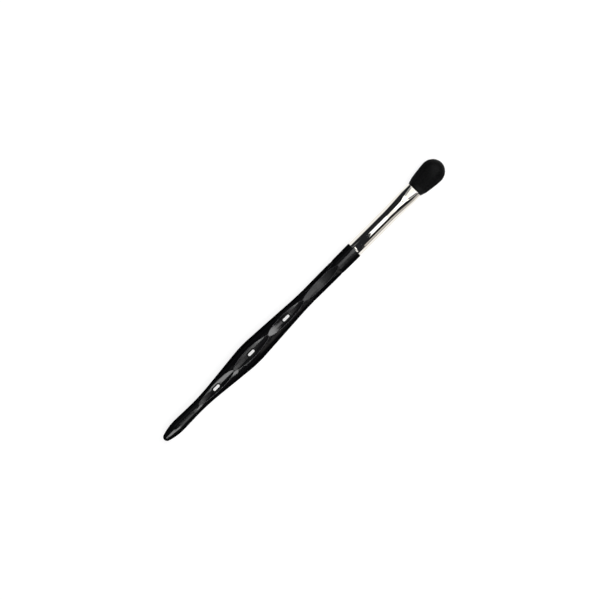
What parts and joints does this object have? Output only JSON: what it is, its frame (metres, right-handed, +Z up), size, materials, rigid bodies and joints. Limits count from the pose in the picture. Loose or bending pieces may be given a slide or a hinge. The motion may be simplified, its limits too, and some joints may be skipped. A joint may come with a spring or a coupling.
{
  "type": "eyeshadow brush",
  "caption": "Slim eyeshadow brush with a scooped and pierced black handle, a polished ferrule pinched to an oval mouth and a domed tuft of dark hair.",
  "frame": {"origin": "under the middle of the brush's length, on the surface that the brush lies on", "axes": "+X along the brush towards the hair, +Z up out of that surface, through the pierced slots"},
  "size_m": [0.175, 0.0112, 0.0099],
  "materials": {
    "black_lacquer": "black, smooth and softly glossy",
    "polished_metal": "polished nickel plate, faintly warm",
    "dark_hair": "fine soft black hair, matt",
    "binding_thread": "twisted thread",
    "cured_resin": "cured resin"
  },
  "bodies": {
    "root": {"handle": "black_lacquer", "ferrule": "polished_metal", "hair_tuft": "dark_hair", "root_binding": "binding_thread", "resin_plug": "cured_resin", "tenon_adhesive": "cured_resin"}
  },
  "joints": []
}
